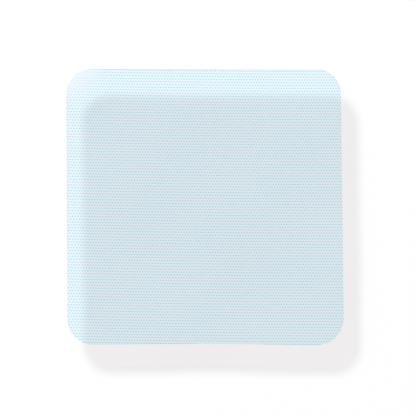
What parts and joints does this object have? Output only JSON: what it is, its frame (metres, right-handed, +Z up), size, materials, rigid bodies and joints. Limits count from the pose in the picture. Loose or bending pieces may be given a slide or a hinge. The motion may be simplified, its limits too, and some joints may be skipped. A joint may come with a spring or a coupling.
{
  "type": "hydrogel wound dressing",
  "caption": "Soft square hydrogel sheet dressing with round corners; a see-through film with close rows of fine teal dots covers its upper face, the flat gel face goes on the wound.",
  "frame": {"origin": "centre of the flat wound face, at the bottom of the box", "axes": "+Z up out of the dotted face; +X along the rows of dots to within half a degree; +Y towards the edge that is at the top of the picture"},
  "size_m": [0.1, 0.1, 0.003],
  "materials": {
    "clear_hydrogel": "clear water gel with a cool tint, soft gloss",
    "cover_film": "thin see-through film, slightly milky, with pale teal dots",
    "dot_print": "low domed dots of pale teal, satin"
  },
  "bodies": {
    "root": {"hydrogel_sheet": "clear_hydrogel", "dotted_cover_film": "cover_film"}
  },
  "joints": []
}
